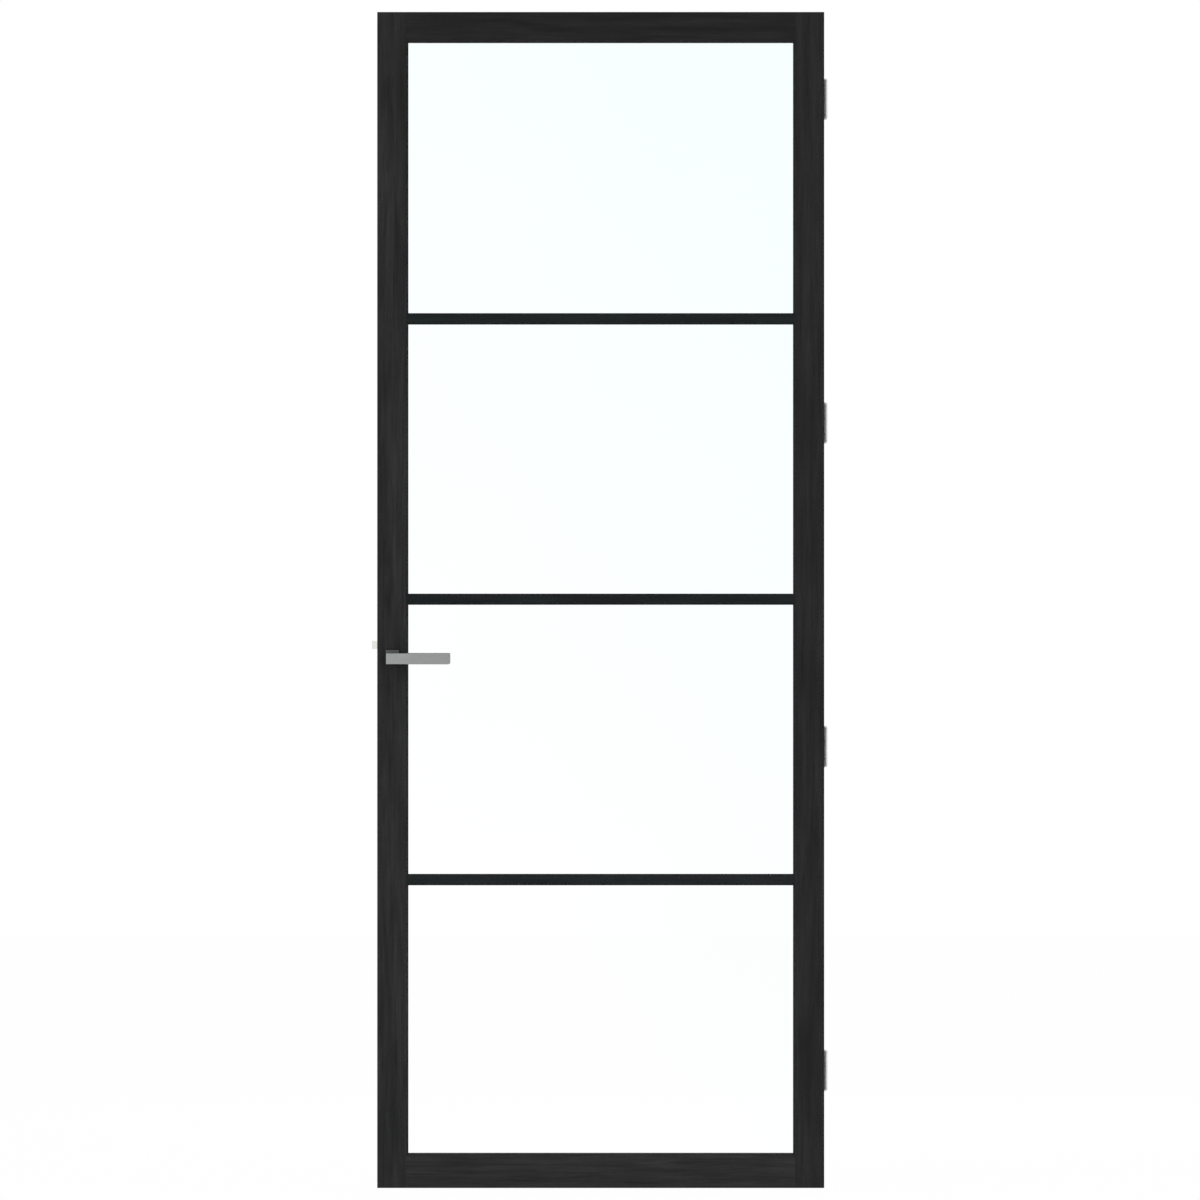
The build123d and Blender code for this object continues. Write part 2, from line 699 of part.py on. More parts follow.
def all_parts():
    parts = {
        "lock_stile": lock_stile(),
        "hinge_stile": hinge_stile(),
        "top_rail": rail(leaf_h, leaf_h - top_rail_w),
        "bottom_rail": rail(0, bottom_rail_w),
        "joint_dowels": dowels(),
        "glazing_tapes": glazing_tapes(),
        "setting_blocks": setting_blocks(),
        "lock_forend": lock_forend(),
        "lock_case": lock_case(),
        "lock_cover": lock_cover(),
        "latch_bolt": latch_bolt(),
        "latch_spring": latch_spring(),
        "follower": follower(),
        "follower_spring": follower_spring(),
        "spindle": spindle(),
        "forend_screws": forend_screws(),
        "lever_front": lever(-1),
        "lever_back": lever(1),
        "lever_grub_screws": grub_screws(),
        "rose_front": rose_cover(-1),
        "rose_back": rose_cover(1),
        "rose_bases": [rose_base(-1), rose_base(1)],
        "rose_screws": rose_screws(),
        "hinge_screws": hinge_screws(),
        "hinge_washers": hinge_washers(),
    }
    for i in range(bar_count):
        parts[f"glazing_bar_{i + 1}"] = glazing_bar(i)
    for i in range(pane_count):
        parts[f"glass_pane_{i + 1}"] = glass_pane(i)
        parts[f"bead_top_{i + 1}"] = level_bead(i, 1)
        parts[f"bead_bottom_{i + 1}"] = level_bead(i, -1)
        parts[f"bead_left_{i + 1}"] = upright_bead(i, -1)
        parts[f"bead_right_{i + 1}"] = upright_bead(i, 1)
    for i in range(hinge_count):
        middle = hinge_middle(i)
        parts[f"hinge_door_leaf_{i + 1}"] = hinge_leaf(-1, middle)
        parts[f"hinge_jamb_leaf_{i + 1}"] = hinge_leaf(1, middle)
        parts[f"hinge_pin_{i + 1}"] = hinge_pin(middle)
    return parts


os.makedirs("parts", exist_ok=True)
for name, shape in all_parts().items():
    solids = shape if isinstance(shape, list) else [shape]
    body = Compound(children=solids) if len(solids) > 1 else solids[0]
    export_step(body, f"parts/{name}.step")
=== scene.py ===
import bpy
import bmesh
import math
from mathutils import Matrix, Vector


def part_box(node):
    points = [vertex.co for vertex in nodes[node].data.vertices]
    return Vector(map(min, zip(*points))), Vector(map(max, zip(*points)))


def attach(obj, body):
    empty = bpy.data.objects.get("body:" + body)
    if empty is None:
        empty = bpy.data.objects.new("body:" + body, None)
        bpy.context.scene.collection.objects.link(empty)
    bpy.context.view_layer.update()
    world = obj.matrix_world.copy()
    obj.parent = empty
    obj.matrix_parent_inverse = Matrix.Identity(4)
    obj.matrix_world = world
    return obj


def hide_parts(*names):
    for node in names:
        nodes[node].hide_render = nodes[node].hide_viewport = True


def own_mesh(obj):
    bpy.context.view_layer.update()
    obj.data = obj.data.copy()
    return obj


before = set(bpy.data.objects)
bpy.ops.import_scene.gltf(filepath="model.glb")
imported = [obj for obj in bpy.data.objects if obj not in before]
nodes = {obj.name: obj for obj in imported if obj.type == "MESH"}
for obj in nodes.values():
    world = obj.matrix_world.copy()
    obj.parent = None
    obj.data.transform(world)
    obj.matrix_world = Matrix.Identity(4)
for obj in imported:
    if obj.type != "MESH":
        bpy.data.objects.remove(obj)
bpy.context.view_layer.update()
print("frame loaded:", len(nodes), "nodes")


# Small helpers for node trees and meshes

def addNode(tree, kind, inputs=None, **settings):
    node = tree.nodes.new(kind)
    for name, value in settings.items():
        setattr(node, name, value)
    for key, value in (inputs or {}).items():
        if isinstance(value, bpy.types.NodeSocket):
            tree.links.new(value, node.inputs[key])
        else:
            node.inputs[key].default_value = value
    return node


def newMaterial(name, **values):
    material = bpy.data.materials.new(name)
    material.use_nodes = True
    tree = material.node_tree
    shader = tree.nodes["Principled BSDF"]
    for socket, value in values.items():
        shader.inputs[socket.replace("_", " ")].default_value = value
    return material, tree, shader


def stretched(tree, across, along, axis, offset=(0.0, 0.0, 0.0)):
    # object coordinates, drawn out along one axis so that noise turns into grain
    scale = [across, across, across]
    scale["XYZ".index(axis)] = along
    inputs = {"Vector": objectPlace(tree), "Scale": scale, "Location": offset}
    return addNode(tree, "ShaderNodeMapping", inputs).outputs["Vector"]


noiseRange = (0.3, 0.7)     # most of a noise's values lie between these


def noise(tree, place, detail, roughness=0.55, distortion=0.0):
    inputs = {"Vector": place, "Scale": 1.0, "Detail": detail, "Roughness": roughness,
              "Distortion": distortion}
    return addNode(tree, "ShaderNodeTexNoise", inputs).outputs["Fac"]


def ramp(tree, value, low, high, toMin=0.0, toMax=1.0):
    inputs = {"Value": value, "From Min": low, "From Max": high, "To Min": toMin, "To Max": toMax}
    return addNode(tree, "ShaderNodeMapRange", inputs).outputs["Result"]


def calc(tree, operation, *values, clamp=False):
    return addNode(tree, "ShaderNodeMath", dict(enumerate(values)), operation=operation,
                   use_clamp=clamp).outputs[0]


def mixColour(tree, factor, first, second, blend="MIX"):
    # a colour mix has its factor at socket 0, its colours at 6 and 7 and its result at 2
    return addNode(tree, "ShaderNodeMix", {0: factor, 6: first, 7: second}, data_type="RGBA",
                   blend_type=blend).outputs[2]


def objectPlace(tree):
    return addNode(tree, "ShaderNodeTexCoord").outputs["Object"]


def split(tree, vector):
    return addNode(tree, "ShaderNodeSeparateXYZ", {0: vector}).outputs


def joined(tree, x=0.0, y=0.0, z=0.0):
    return addNode(tree, "ShaderNodeCombineXYZ", {"X": x, "Y": y, "Z": z}).outputs[0]


def addBump(tree, shader, height, strength, distance):
    bump = addNode(tree, "ShaderNodeBump",
                   {"Height": height, "Strength": strength, "Distance": distance})
    tree.links.new(bump.outputs["Normal"], shader.inputs["Normal"])


def dress(names, material):
    for name in names:
        data = nodes[name].data
        data.materials.clear()
        data.materials.append(material)


def addObject(name, data):
    added = bpy.data.objects.new(name, data)
    bpy.context.scene.collection.objects.link(added)
    return added


# Black lacquered wood: every board has its own tone and its own run of open grain

woodLook = {
    "dark": (0.0050, 0.0054, 0.0053),
    "light": (0.0185, 0.0190, 0.0186),
    "lightRange": (0.72, 1.28),     # figure and grain together, from the dark tone to the light one
    "figureAcross": 75.0,
    "figureAlong": 5.0,
    "grainAcross": 430.0,
    "grainAlong": 9.0,
    "patchAcross": 26.0,
    "patchAlong": 5.5,
    "patchRange": (0.38, 0.62),
    "patchShade": (0.86, 1.14),
    "poreAcross": 1500.0,
    "poreAlong": 36.0,
    "poreRange": (0.60, 0.70),
    "poreDark": 0.5,
    "bumpStrength": 0.55,
    "bumpDistance": 0.0004,
    "roughness": (0.50, 0.66),
    "specular": 0.18,
}
boards = {
    "lock_stile": {"axis": "Z", "tone": (1.0, 1.0, 1.0), "offset": (0.0, 0.0, 0.0)},
    "hinge_stile": {"axis": "Z", "tone": (0.745, 0.725, 0.735), "offset": (4.3, 0.0, 1.7)},
    "top_rail": {"axis": "X", "tone": (0.66, 0.60, 0.67), "offset": (3.1, 7.7, 1.3)},
    "bottom_rail": {"axis": "X", "tone": (1.30, 1.245, 1.28), "offset": (8.9, 2.6, 5.3)},
}
sightChamfer = 0.004
jointLook = {
    # where rails and bars end: in front at the foot of the stile's chamfer, behind at full length
    "front": -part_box("lock_stile")[1].x + sightChamfer,
    "back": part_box("top_rail")[1].x,
    "blend": 0.001,         # either side of the middle of the thickness, from one to the other
    "line": 0.0006,
    "dark": 0.2,
}


def toned(colour, tone):
    return tuple(part * share for part, share in zip(colour, tone)) + (1.0,)


def jointShade(tree, look):
    # dark along the line where a rail or a bar meets a stile
    x, y, z = split(tree, objectPlace(tree))
    end = ramp(tree, y, -look["blend"], look["blend"], look["front"], look["back"])
    left = calc(tree, "SUBTRACT", end, calc(tree, "ABSOLUTE", x))
    return ramp(tree, left, 0.0, look["line"], look["dark"], 1.0)


def blackWood(name, look, axis, offset=(0.0, 0.0, 0.0), tone=(1.0, 1.0, 1.0)):
    material, tree, shader = newMaterial(name, Specular_IOR_Level=look["specular"])

    def run(kind, **settings):
        place = stretched(tree, look[kind + "Across"], look[kind + "Along"], axis, offset)
        return noise(tree, place, **settings)

    figure = run("figure", detail=4.0, distortion=0.7)
    grain = run("grain", detail=5.0, roughness=0.65)
    pores = ramp(tree, run("pore", detail=2.0), *look["poreRange"])
    shade = ramp(tree, calc(tree, "ADD", figure, grain), *look["lightRange"])
    colour = mixColour(tree, shade, toned(look["dark"], tone), toned(look["light"], tone))
    patches = ramp(tree, run("patch", detail=2.0), *look["patchRange"], *look["patchShade"])
    colour = mixColour(tree, 1.0, colour, patches, "MULTIPLY")
    dark = ramp(tree, pores, 0.0, 1.0, 1.0, look["poreDark"])
    if axis == "X":
        dark = calc(tree, "MULTIPLY", dark, jointShade(tree, jointLook))
    colour = mixColour(tree, 1.0, colour, dark, "MULTIPLY")
    tree.links.new(colour, shader.inputs["Base Color"])
    rough = ramp(tree, grain, *noiseRange, *look["roughness"])
    tree.links.new(rough, shader.inputs["Roughness"])
    depth = calc(tree, "SUBTRACT", grain, pores)
    addBump(tree, shader, depth, look["bumpStrength"], look["bumpDistance"])
    return material


print("black wood")
for name, values in boards.items():
    dress([name], blackWood("wood_" + name, woodLook, **values))

paneNumbers = range(1, 5)
beads = {
    "upright": {"sides": ("left", "right"), "axis": "Z", "offset": (1.9, 6.1, 3.7)},
    "level": {"sides": ("top", "bottom"), "axis": "X", "offset": (2.8, 9.4, 0.6)},
}
beadTone = (0.9, 0.9, 0.9)
for kind, values in beads.items():
    material = blackWood("wood_bead_" + kind, woodLook, values["axis"], values["offset"], beadTone)
    dress([f"bead_{side}_{i}" for side in values["sides"] for i in paneNumbers], material)

barLook = {
    **woodLook,
    "dark": (0.0038, 0.0062, 0.0068),
    "light": (0.0085, 0.0118, 0.0124),
    "poreDark": 0.75,
    "bumpDistance": 0.0002,
    "specular": 0.12,
}
barTones = {1: (0.93, 0.93, 0.93), 2: (0.98, 0.95, 0.95), 3: (1.48, 1.24, 1.21)}
barShift = 5.2              # from the grain of one bar to the next one's
for i, tone in barTones.items():
    material = blackWood(f"wood_bar_{i}", barLook, "X", (barShift * i, 2.4, 8.8), tone)
    dress([f"glazing_bar_{i}"], material)


# Glass: clear, with painted light: a breath of blue-green in its colour that deepens towards the top and
# the hinges

glassLook = {
    "ior": 1.5,
    "clearEdge": (1.0, 1.0, 1.0, 1),
    "paintedLightTint": (0.925, 1.0, 1.0, 1),
    "lean": 1.2,            # how much a step across counts beside a step up
    "start": 0.35,          # height at the middle of the leaf where the painted light starts
    "full": 2.72,           # and where it is full
    "cloud": 0.06,          # how far the painted light wanders either way
    "cloudScale": 2.2,
}


def clearGlass(name, look):
    material, tree, shader = newMaterial(name, Roughness=0.0, IOR=look["ior"], Transmission_Weight=1.0)
    x, y, z = split(tree, objectPlace(tree))
    # painted light: the colour runs from clear to blue-green across and up the panes, with a little random
    # wander
    paintedLightShare = ramp(tree, calc(tree, "MULTIPLY_ADD", x, look["lean"], z), look["start"], look["full"])
    cloud = noise(tree, stretched(tree, look["cloudScale"], look["cloudScale"], "Y"), detail=1.0)
    cloud = ramp(tree, cloud, *noiseRange, -look["cloud"], look["cloud"])
    paintedLightShare = calc(tree, "ADD", paintedLightShare, cloud, clamp=True)
    colour = mixColour(tree, paintedLightShare, look["clearEdge"], look["paintedLightTint"])
    tree.links.new(colour, shader.inputs["Base Color"])
    return material


print("glass")
dress([f"glass_pane_{i}" for i in paneNumbers], clearGlass("glass_clear_pane", glassLook))


# Metals: satin steel of the levers and hinges, nickel, zinc plate

brushLook = {
    "stretch": 90.0,        # a brush line's length in its own widths
    "lineRange": (0.25, 0.75),
    "lineShade": (0.86, 1.10),
    "cloudAcross": 60.0,
    "cloudAlong": 20.0,
    "cloudRough": 0.03,
    "bumpStrength": 0.35,
    "bumpDistance": 0.00002,
}
# painted highlight on the lever: its colour is made brighter over the rose, standing in for the light it
# catches there
leverPaintedSheen = {"start": -0.372, "full": -0.388, "share": 1.07}    # along X, brighter over the rose
metals = {
    "steel_satin_brushed": {"colour": (0.335, 0.35, 0.345), "roughness": 0.34, "axis": "Z"},
    "steel_lever_brushed_painted_sheen": {"colour": (0.335, 0.35, 0.345), "roughness": 0.34, "paintedSheen": leverPaintedSheen},
    # painted shade: the rose is the same satin steel, its colour darkened to stand in for the shade of the
    # lever over it
    "steel_rose_brushed_painted_shade": {"colour": (0.118, 0.12, 0.118), "roughness": 0.4, "axis": "Z"},
    "hinge_steel_brushed": {"colour": (0.60, 0.60, 0.59), "roughness": 0.33, "axis": "Z",
                            "lines": 1800.0},
    "bolt_nickel_plate": {"colour": (0.82, 0.81, 0.78), "roughness": 0.2, "axis": "Z", "lines": 1500.0,
                          "spread": 0.03},
    "case_zinc_plate": {"colour": (0.42, 0.43, 0.44), "roughness": 0.36, "axis": "Z", "lines": 900.0},
    "spring_steel_plain": {"colour": (0.30, 0.30, 0.31), "roughness": 0.32},
}


def brushedMetal(name, colour, roughness, axis="X", lines=2600.0, spread=0.06, paintedSheen=None):
    look = brushLook
    material, tree, shader = newMaterial(name, Metallic=1.0)
    streaks = noise(tree, stretched(tree, lines, lines / look["stretch"], axis), detail=4.0, roughness=0.6)
    cloud = noise(tree, stretched(tree, look["cloudAcross"], look["cloudAlong"], axis), detail=2.0)
    shade = ramp(tree, streaks, *look["lineRange"], *look["lineShade"])
    tone = mixColour(tree, 1.0, (*colour, 1), shade, "MULTIPLY")
    # painted highlight: the colour is made brighter over a span along X
    if paintedSheen:
        x = split(tree, objectPlace(tree))["X"]
        brighter = ramp(tree, x, paintedSheen["full"], paintedSheen["start"], paintedSheen["share"], 1.0)
        tone = mixColour(tree, 1.0, tone, brighter, "MULTIPLY")
    tree.links.new(tone, shader.inputs["Base Color"])
    fine = ramp(tree, streaks, *noiseRange, -spread, spread)
    broad = ramp(tree, cloud, *noiseRange, roughness - look["cloudRough"], roughness + look["cloudRough"])
    tree.links.new(calc(tree, "ADD", fine, broad), shader.inputs["Roughness"])
    addBump(tree, shader, streaks, look["bumpStrength"], look["bumpDistance"])
    return material


# Tape, plastic and nylon: a fine even grain with a little cloud in the colour

coatLook = {
    "cloudScale": 45.0,
    "cloudShade": (0.88, 1.12),
    "roughSpread": 0.06,
    "bump": 0.5,
}
coats = {
    "tape_closed_cell": {"colour": (0.010, 0.010, 0.010), "roughness": 0.82, "specular": 0.15,
                         "scale": 1300.0, "depth": 0.00010},
    "block_plastic_grey": {"colour": (0.21, 0.21, 0.22), "roughness": 0.5, "specular": 0.4,
                           "scale": 900.0, "depth": 0.00003},
    "nylon_turned_grey": {"colour": (0.26, 0.26, 0.27), "roughness": 0.44, "specular": 0.4,
                          "scale": 1200.0, "depth": 0.00002},
}


def grainedCoat(name, colour, roughness, specular, scale, depth):
    look = coatLook
    material, tree, shader = newMaterial(name, Specular_IOR_Level=specular)
    grain = noise(tree, stretched(tree, scale, scale, "X"), detail=3.0)
    cloud = noise(tree, stretched(tree, look["cloudScale"], look["cloudScale"], "X"), detail=2.0)
    shade = ramp(tree, cloud, *noiseRange, *look["cloudShade"])
    tone = mixColour(tree, 1.0, (*colour, 1), shade, "MULTIPLY")
    tree.links.new(tone, shader.inputs["Base Color"])
    rough = ramp(tree, grain, *noiseRange, roughness - look["roughSpread"], roughness + look["roughSpread"])
    tree.links.new(rough, shader.inputs["Roughness"])
    addBump(tree, shader, grain, look["bump"], depth)
    return material


beechLook = {
    "dark": (0.44, 0.28, 0.15, 1),
    "light": (0.64, 0.46, 0.28, 1),
    "fleck": (0.30, 0.17, 0.085, 1),
    "fleckRange": (0.58, 0.66),
    "fleckShare": 0.5,
    "grainAcross": 600.0,
    "grainAlong": 18.0,
    "fleckAcross": 1400.0,
    "fleckAlong": 120.0,
    "roughness": (0.5, 0.66),
    "specular": 0.35,
    "bumpStrength": 0.4,
    "bumpDistance": 0.0001,
}


def bareBeech(name, look):
    material, tree, shader = newMaterial(name, Specular_IOR_Level=look["specular"])
    grain = noise(tree, stretched(tree, look["grainAcross"], look["grainAlong"], "X"), detail=4.0)
    flecks = noise(tree, stretched(tree, look["fleckAcross"], look["fleckAlong"], "X"), detail=1.0)
    flecks = ramp(tree, ramp(tree, flecks, *look["fleckRange"]), 0.0, 1.0, 0.0, look["fleckShare"])
    tone = mixColour(tree, grain, look["dark"], look["light"])
    tone = mixColour(tree, flecks, tone, look["fleck"])
    tree.links.new(tone, shader.inputs["Base Color"])
    tree.links.new(ramp(tree, grain, *noiseRange, *look["roughness"]), shader.inputs["Roughness"])
    addBump(tree, shader, grain, look["bumpStrength"], look["bumpDistance"])
    return material


print("metals, plastics and dowels")
hingeNumbers = range(1, 5)
hingeParts = [f"hinge_{kind}_{i}" for kind in ("door_leaf", "jamb_leaf", "pin") for i in hingeNumbers]
finished = {
    "steel_satin_brushed": ["lock_forend", "forend_screws"],
    "steel_lever_brushed_painted_sheen": ["lever_front", "lever_back"],
    "steel_rose_brushed_painted_shade": ["rose_front", "rose_back"],
    "hinge_steel_brushed": ["hinge_screws", *hingeParts],
    "bolt_nickel_plate": ["latch_bolt"],
    "case_zinc_plate": ["lock_case", "lock_cover", "follower"],
    "spring_steel_plain": ["latch_spring", "follower_spring", "spindle", "rose_screws",
                           "lever_grub_screws"],
    "tape_closed_cell": ["glazing_tapes"],
    "block_plastic_grey": ["setting_blocks"],
    "nylon_turned_grey": ["rose_bases", "hinge_washers"],
    "dowel_bare_beech": ["joint_dowels"],
}
finishes = {name: brushedMetal(name, **values) for name, values in metals.items()}
for name, values in coats.items():
    finishes[name] = grainedCoat(name, **values)
finishes["dowel_bare_beech"] = bareBeech("dowel_bare_beech", beechLook)
for name, pieces in finished.items():
    dress(pieces, finishes[name])


# Geometry Nodes: screws, springs and pins are grown from a few points and sizes

fullTurn = 2 * math.pi


def startTree(name, sizes):
    # takes points or lines, and has one named input for each size
    tree = bpy.data.node_groups.new(name, "GeometryNodeTree")
    face = tree.interface
    face.new_socket("Geometry", in_out="OUTPUT", socket_type="NodeSocketGeometry")
    face.new_socket("Geometry", in_out="INPUT", socket_type="NodeSocketGeometry")
    for label, value in sizes.items():
        kind = "NodeSocketInt" if isinstance(value, int) else "NodeSocketFloat"
        face.new_socket(label, in_out="INPUT", socket_type=kind).default_value = value
    face.new_socket("Material", in_out="INPUT", socket_type="NodeSocketMaterial")
    return tree, tree.nodes.new("NodeGroupInput").outputs


def endTree(tree, geometry, material):
    real = addNode(tree, "GeometryNodeRealizeInstances", {"Geometry": geometry}).outputs[0]
    dressed = addNode(tree, "GeometryNodeSetMaterial", {"Geometry": real, "Material": material})
    tree.links.new(dressed.outputs[0], tree.nodes.new("NodeGroupOutput").inputs["Geometry"])
    return tree


def moved(tree, geometry, **inputs):
    return addNode(tree, "GeometryNodeTransform", {"Geometry": geometry, **inputs}).outputs[0]


def placed(tree, taken, points, shape):
    # one shape on each point, its +Z to the point's stored direction, after a seeded random spin
    way = addNode(tree, "GeometryNodeInputNamedAttribute", {"Name": "outward"}, data_type="FLOAT_VECTOR")
    turn = addNode(tree, "FunctionNodeAlignRotationToVector", {"Vector": way.outputs[0]}, axis="Z")
    spin = addNode(tree, "FunctionNodeRandomValue", {2: 0.0, 3: taken["Spin"], "Seed": taken["Seed"]},
                   data_type="FLOAT")
    spin = addNode(tree, "FunctionNodeEulerToRotation", {0: joined(tree, z=spin.outputs[1])}).outputs[0]
    turn = addNode(tree, "FunctionNodeRotateRotation", {0: turn.outputs[0], 1: spin},
                   rotation_space="LOCAL").outputs[0]
    return addNode(tree, "GeometryNodeInstanceOnPoints",
                   {"Points": points, "Instance": shape, "Rotation": turn}).outputs[0]


def roundBar(tree, taken):
    # cylinder of radius 1 with its top on the origin, and its surface's x, y and depth
    bar = addNode(tree, "GeometryNodeMeshCylinder",
                  {"Vertices": taken["Sides"], "Side Segments": taken["Rings"], "Fill Segments": 1,
                   "Radius": 1.0, "Depth": taken["Length"]}, fill_type="TRIANGLE_FAN").outputs["Mesh"]
    bar = moved(tree, bar, Translation=joined(tree, z=calc(tree, "MULTIPLY", taken["Length"], -0.5)))
    x, y, z = split(tree, tree.nodes.new("GeometryNodeInputPosition").outputs[0])
    return bar, x, y, calc(tree, "MULTIPLY", z, -1.0)


def thread(tree, taken, x, y, depth):
    # radius of a wound ridge, from the core's to the shank's
    around = calc(tree, "DIVIDE", calc(tree, "ARCTAN2", y, x), fullTurn)
    wound = calc(tree, "ADD", around, calc(tree, "DIVIDE", depth, taken["Pitch"]))
    flank = calc(tree, "PINGPONG", wound, 0.5)
    return ramp(tree, flank, taken["Root End"], taken["Crest Start"], taken["Core Radius"],
                taken["Shank Radius"])


def turnedTo(tree, bar, x, y, depth, radius):
    place = joined(tree, calc(tree, "MULTIPLY", x, radius), calc(tree, "MULTIPLY", y, radius),
                   calc(tree, "MULTIPLY", depth, -1.0))
    return addNode(tree, "GeometryNodeSetPosition", {"Geometry": bar, "Position": place}).outputs[0]


def cutOut(tree, body, cutters):
    cut = addNode(tree, "GeometryNodeMeshBoolean", {"Mesh 1": body, "Self Intersection": True},
                  operation="DIFFERENCE", solver="EXACT")
    for part in cutters:
        tree.links.new(part, cut.inputs["Mesh 2"])
    return cut.outputs["Mesh"]


def screwTree(sizes):
    # wood screw: a flat head on the origin, its point at -Z, a wound thread and a cross recess
    tree, taken = startTree("threaded screws", sizes)
    bar, x, y, depth = roundBar(tree, taken)
    ridge = thread(tree, taken, x, y, depth)
    pointStart = calc(tree, "SUBTRACT", taken["Length"], taken["Point Length"])
    taper = ramp(tree, depth, pointStart, taken["Length"], taken["Shank Radius"], taken["Tip Radius"])
    head = calc(tree, "SUBTRACT", taken["Head Radius"], depth)
    radius = calc(tree, "MAXIMUM", calc(tree, "MINIMUM", ridge, taper), head)
    bar = turnedTo(tree, bar, x, y, depth, radius)
    blade = addNode(tree, "GeometryNodeMeshCone",
                    {"Vertices": 4, "Side Segments": 1, "Fill Segments": 1,
                     "Radius Top": taken["Recess Radius"],
                     "Radius Bottom": calc(tree, "MULTIPLY", taken["Recess Radius"], taken["Recess Foot"]),
                     "Depth": taken["Recess Depth"]}, fill_type="NGON").outputs["Mesh"]
    blade = moved(tree, blade, Rotation=(0, 0, fullTurn / 8))
    sink = calc(tree, "MULTIPLY", taken["Recess Depth"], taken["Recess Sink"])
    blade = moved(tree, blade, Scale=joined(tree, 1.0, taken["Blade"], 1.0),
                  Translation=joined(tree, z=calc(tree, "MULTIPLY", sink, -1.0)))
    cross = moved(tree, blade, Rotation=(0, 0, fullTurn / 4))
    screw = cutOut(tree, bar, (blade, cross))
    return endTree(tree, placed(tree, taken, taken["Geometry"], screw), taken["Material"])


def socketScrewTree(sizes):
    # headless screw with a hexagon socket on the origin, its body at -Z
    tree, taken = startTree("socket screws", sizes)
    bar, x, y, depth = roundBar(tree, taken)
    bar = turnedTo(tree, bar, x, y, depth, thread(tree, taken, x, y, depth))
    socket = addNode(tree, "GeometryNodeMeshCylinder",
                     {"Vertices": 6, "Side Segments": 1, "Fill Segments": 1,
                      "Radius": taken["Socket Radius"],
                      "Depth": calc(tree, "MULTIPLY", taken["Socket Depth"], 2.0)},
                     fill_type="NGON").outputs["Mesh"]
    screw = cutOut(tree, bar, (socket,))
    return endTree(tree, placed(tree, taken, taken["Geometry"], screw), taken["Material"])


def coilTree(sizes):
    # round wire wound in a coil that stands on each point, with a straight leg at its far end
    tree, taken = startTree("wire coils", sizes)
    line = addNode(tree, "GeometryNodeCurveSpiral",
                   {"Resolution": taken["Steps"], "Rotations": taken["Turns"],
                    "Start Radius": taken["Radius"], "End Radius": taken["Radius"],
                    "Height": taken["Height"], "Reverse": False}).outputs[0]
    start = joined(tree, taken["Radius"], 0.0, taken["Height"])
    end = joined(tree, taken["Radius"], taken["Leg"], taken["Height"])
    leg = addNode(tree, "GeometryNodeCurvePrimitiveLine", {"Start": start, "End": end}).outputs[0]
    path = tree.nodes.new("GeometryNodeJoinGeometry")
    for part in (line, leg):
        tree.links.new(part, path.inputs[0])
    wire = addNode(tree, "GeometryNodeCurvePrimitiveCircle",
                   {"Resolution": taken["Sides"], "Radius": taken["Wire Radius"]}).outputs[0]
    coil = addNode(tree, "GeometryNodeCurveToMesh",
                   {"Curve": path.outputs[0], "Profile Curve": wire, "Fill Caps": True}).outputs[0]
    return endTree(tree, placed(tree, taken, taken["Geometry"], coil), taken["Material"])


def pinTree(sizes):
    # filled pin heads at an even pitch along lines: low domes that face the stored direction
    tree, taken = startTree("bead pins", sizes)
    line = addNode(tree, "GeometryNodeMeshToCurve", {"Mesh": taken["Geometry"]}).outputs[0]
    line = addNode(tree, "GeometryNodeResampleCurve",
                   {"Curve": line, "Length": taken["Pitch"]}, mode="LENGTH").outputs[0]
    dome = addNode(tree, "GeometryNodeMeshUVSphere",
                   {"Segments": taken["Sides"], "Rings": taken["Rings"],
                    "Radius": taken["Head Radius"]}).outputs["Mesh"]
    dome = moved(tree, dome, Scale=joined(tree, 1.0, 1.0, taken["Dome"]))
    return endTree(tree, placed(tree, taken, line, dome), taken["Material"])


def grow(name, points, outward, tree, sizes, material, lines=(), sharp=40.0):
    # runs a tree over points or lines that face one way, and keeps the result as a plain mesh
    base = bpy.data.meshes.new(name + "_base")
    base.from_pydata(points, lines, [])
    way = base.attributes.new("outward", "FLOAT_VECTOR", "POINT")
    for i in range(len(points)):
        way.data[i].vector = outward
    carrier = addObject(name + "_carrier", base)
    modifier = carrier.modifiers.new("shape", "NODES")
    modifier.node_group = tree
    values = {**sizes, "Material": material}
    for item in tree.interface.items_tree:
        if item.in_out == "INPUT" and item.name in values:
            modifier[item.identifier] = values[item.name]
    ready = carrier.evaluated_get(bpy.context.evaluated_depsgraph_get())
    data = bpy.data.meshes.new_from_object(ready)
    carrier.modifiers.remove(modifier)
    bpy.data.objects.remove(carrier)
    data.shade_smooth()
    data.set_sharp_from_angle(angle=math.radians(sharp))
    return addObject(name, data)


# Screws of the hinges, the forend and the levers, in place of the plain ones

